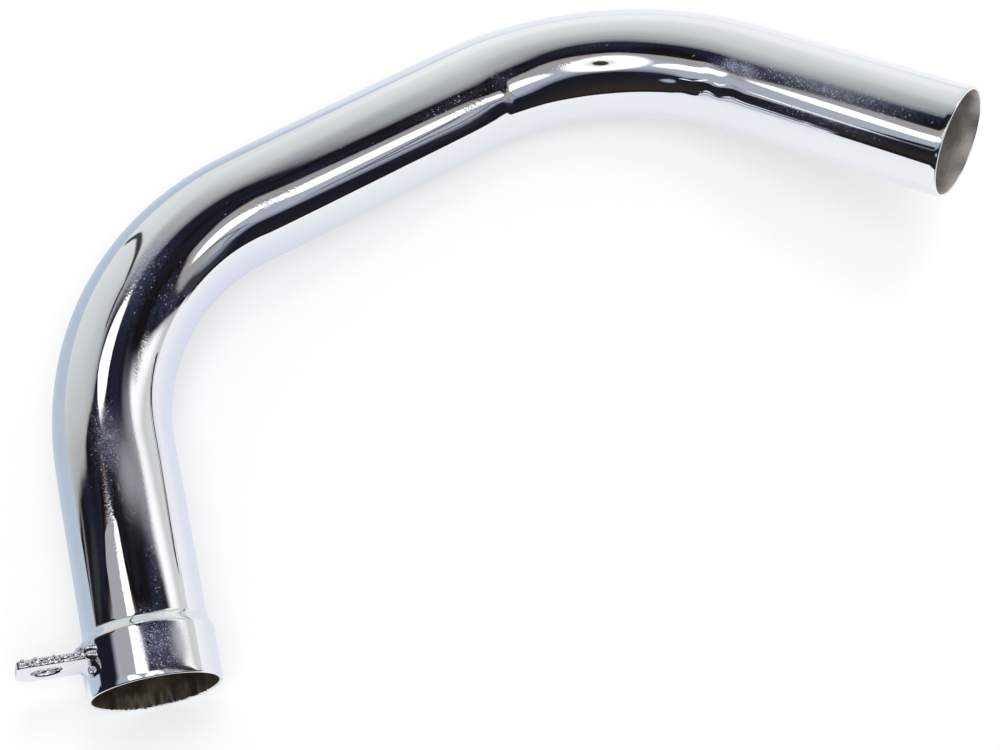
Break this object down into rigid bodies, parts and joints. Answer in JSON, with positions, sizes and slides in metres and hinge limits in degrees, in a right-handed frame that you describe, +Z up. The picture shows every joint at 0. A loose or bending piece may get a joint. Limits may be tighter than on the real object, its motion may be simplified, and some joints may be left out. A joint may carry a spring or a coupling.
{
  "type": "exhaust elbow pipe",
  "caption": "Chromed motorbike exhaust elbow: a steel tube bent in different planes, with a slip-on socket at the inlet, a plain outlet end and a welded bolt lug.",
  "frame": {"origin": "on the surface that the elbow lies on, under the middle of its box", "axes": "+Z up from the surface, +X towards the outlet end, +Y from the socket's mouth towards the bends"},
  "size_m": [0.2929, 0.2662, 0.0709],
  "materials": {
    "chromed_tube": "bright chrome plating, lightly scuffed",
    "chromed_plate": "bright chrome plating over sheared steel plate",
    "chromed_weld": "chrome plating over a rough weld bead"
  },
  "bodies": {
    "root": {"elbow_tube": "chromed_tube", "mounting_lug": "chromed_plate", "lug_weld": "chromed_weld"}
  },
  "joints": []
}
